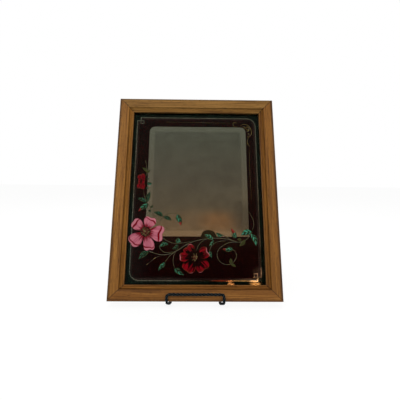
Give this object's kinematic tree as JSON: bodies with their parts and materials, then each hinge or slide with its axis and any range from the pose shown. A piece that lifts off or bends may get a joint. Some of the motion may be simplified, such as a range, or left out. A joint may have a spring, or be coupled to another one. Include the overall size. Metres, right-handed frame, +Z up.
{
  "type": "framed mirror on easel",
  "caption": "Rectangular mirror with a printed rose border in a mitred oak frame, leaning on a folding easel of bent black bar with a front lip and a hinged rear leg.",
  "frame": {"origin": "centre of the overall box at table level, under the leaning mirror", "axes": "+Z up, +Y from the viewer towards the rear leg, +X to the viewer's right"},
  "size_m": [0.2666, 0.138, 0.3315],
  "materials": {
    "oak": "oiled oak",
    "glass": "clear sheet glass",
    "silvering": "silvered",
    "green_print": "screen ink, dark green",
    "maroon_print": "screen ink, dark maroon",
    "silver_print": "screen ink, silver",
    "flower_print": "screen inks, pink and red",
    "leaf_print": "screen inks, green and olive",
    "card": "grey-brown packing card",
    "hardboard": "hardboard, smooth side out",
    "plated_steel": "zinc plated",
    "nickel": "nickel plated",
    "felt": "dark felt",
    "black_bar": "black paint, satin"
  },
  "bodies": {
    "easel": {"easel_ledge": "black_bar", "easel_back": "black_bar", "easel_crossbar": "black_bar"},
    "rear_leg": {"easel_leg": "black_bar", "leg_sleeve": "black_bar", "leg_stop_bar": "black_bar"},
    "mirror": {"frame_rail_top": "oak", "frame_rail_bottom": "oak", "frame_rail_left": "oak", "frame_rail_right": "oak", "corner_nails": "plated_steel", "mirror_glass": "glass", "silvering": "silvering", "green_border_print": "green_print", "silver_line": "silver_print", "maroon_field_print": "maroon_print", "flower_print": "flower_print", "leaf_print": "leaf_print", "backing_card": "card", "hardboard_back": "hardboard", "glazier_points": "plated_steel", "hanger_strap_left": "nickel", "hanger_strap_right": "nickel", "hanger_screws": "plated_steel", "bumper_pads": "felt"},
    "left_ring": {"hanger_ring_left": "nickel"},
    "right_ring": {"hanger_ring_right": "nickel"}
  },
  "joints": [
    {"name": "leg_fold", "type": "hinge", "parent": "easel", "child": "rear_leg", "pos_m": [0, 0.00473, 0.12901], "axis": [-1, 0, 0], "range_deg": [0, 42]},
    {"name": "mirror_lift", "type": "slide", "parent": "easel", "child": "mirror", "axis": [0, 0.342, 0.9397], "range_m": [0, 0.06]},
    {"name": "left_ring_swing", "type": "hinge", "parent": "mirror", "child": "left_ring", "pos_m": [-0.12285, 0.03609, 0.22933], "axis": [1, 0, 0], "range_deg": [-17, 158]},
    {"name": "right_ring_swing", "type": "hinge", "parent": "mirror", "child": "right_ring", "pos_m": [0.12285, 0.03609, 0.22933], "axis": [1, 0, 0], "range_deg": [-17, 158]}
  ]
}
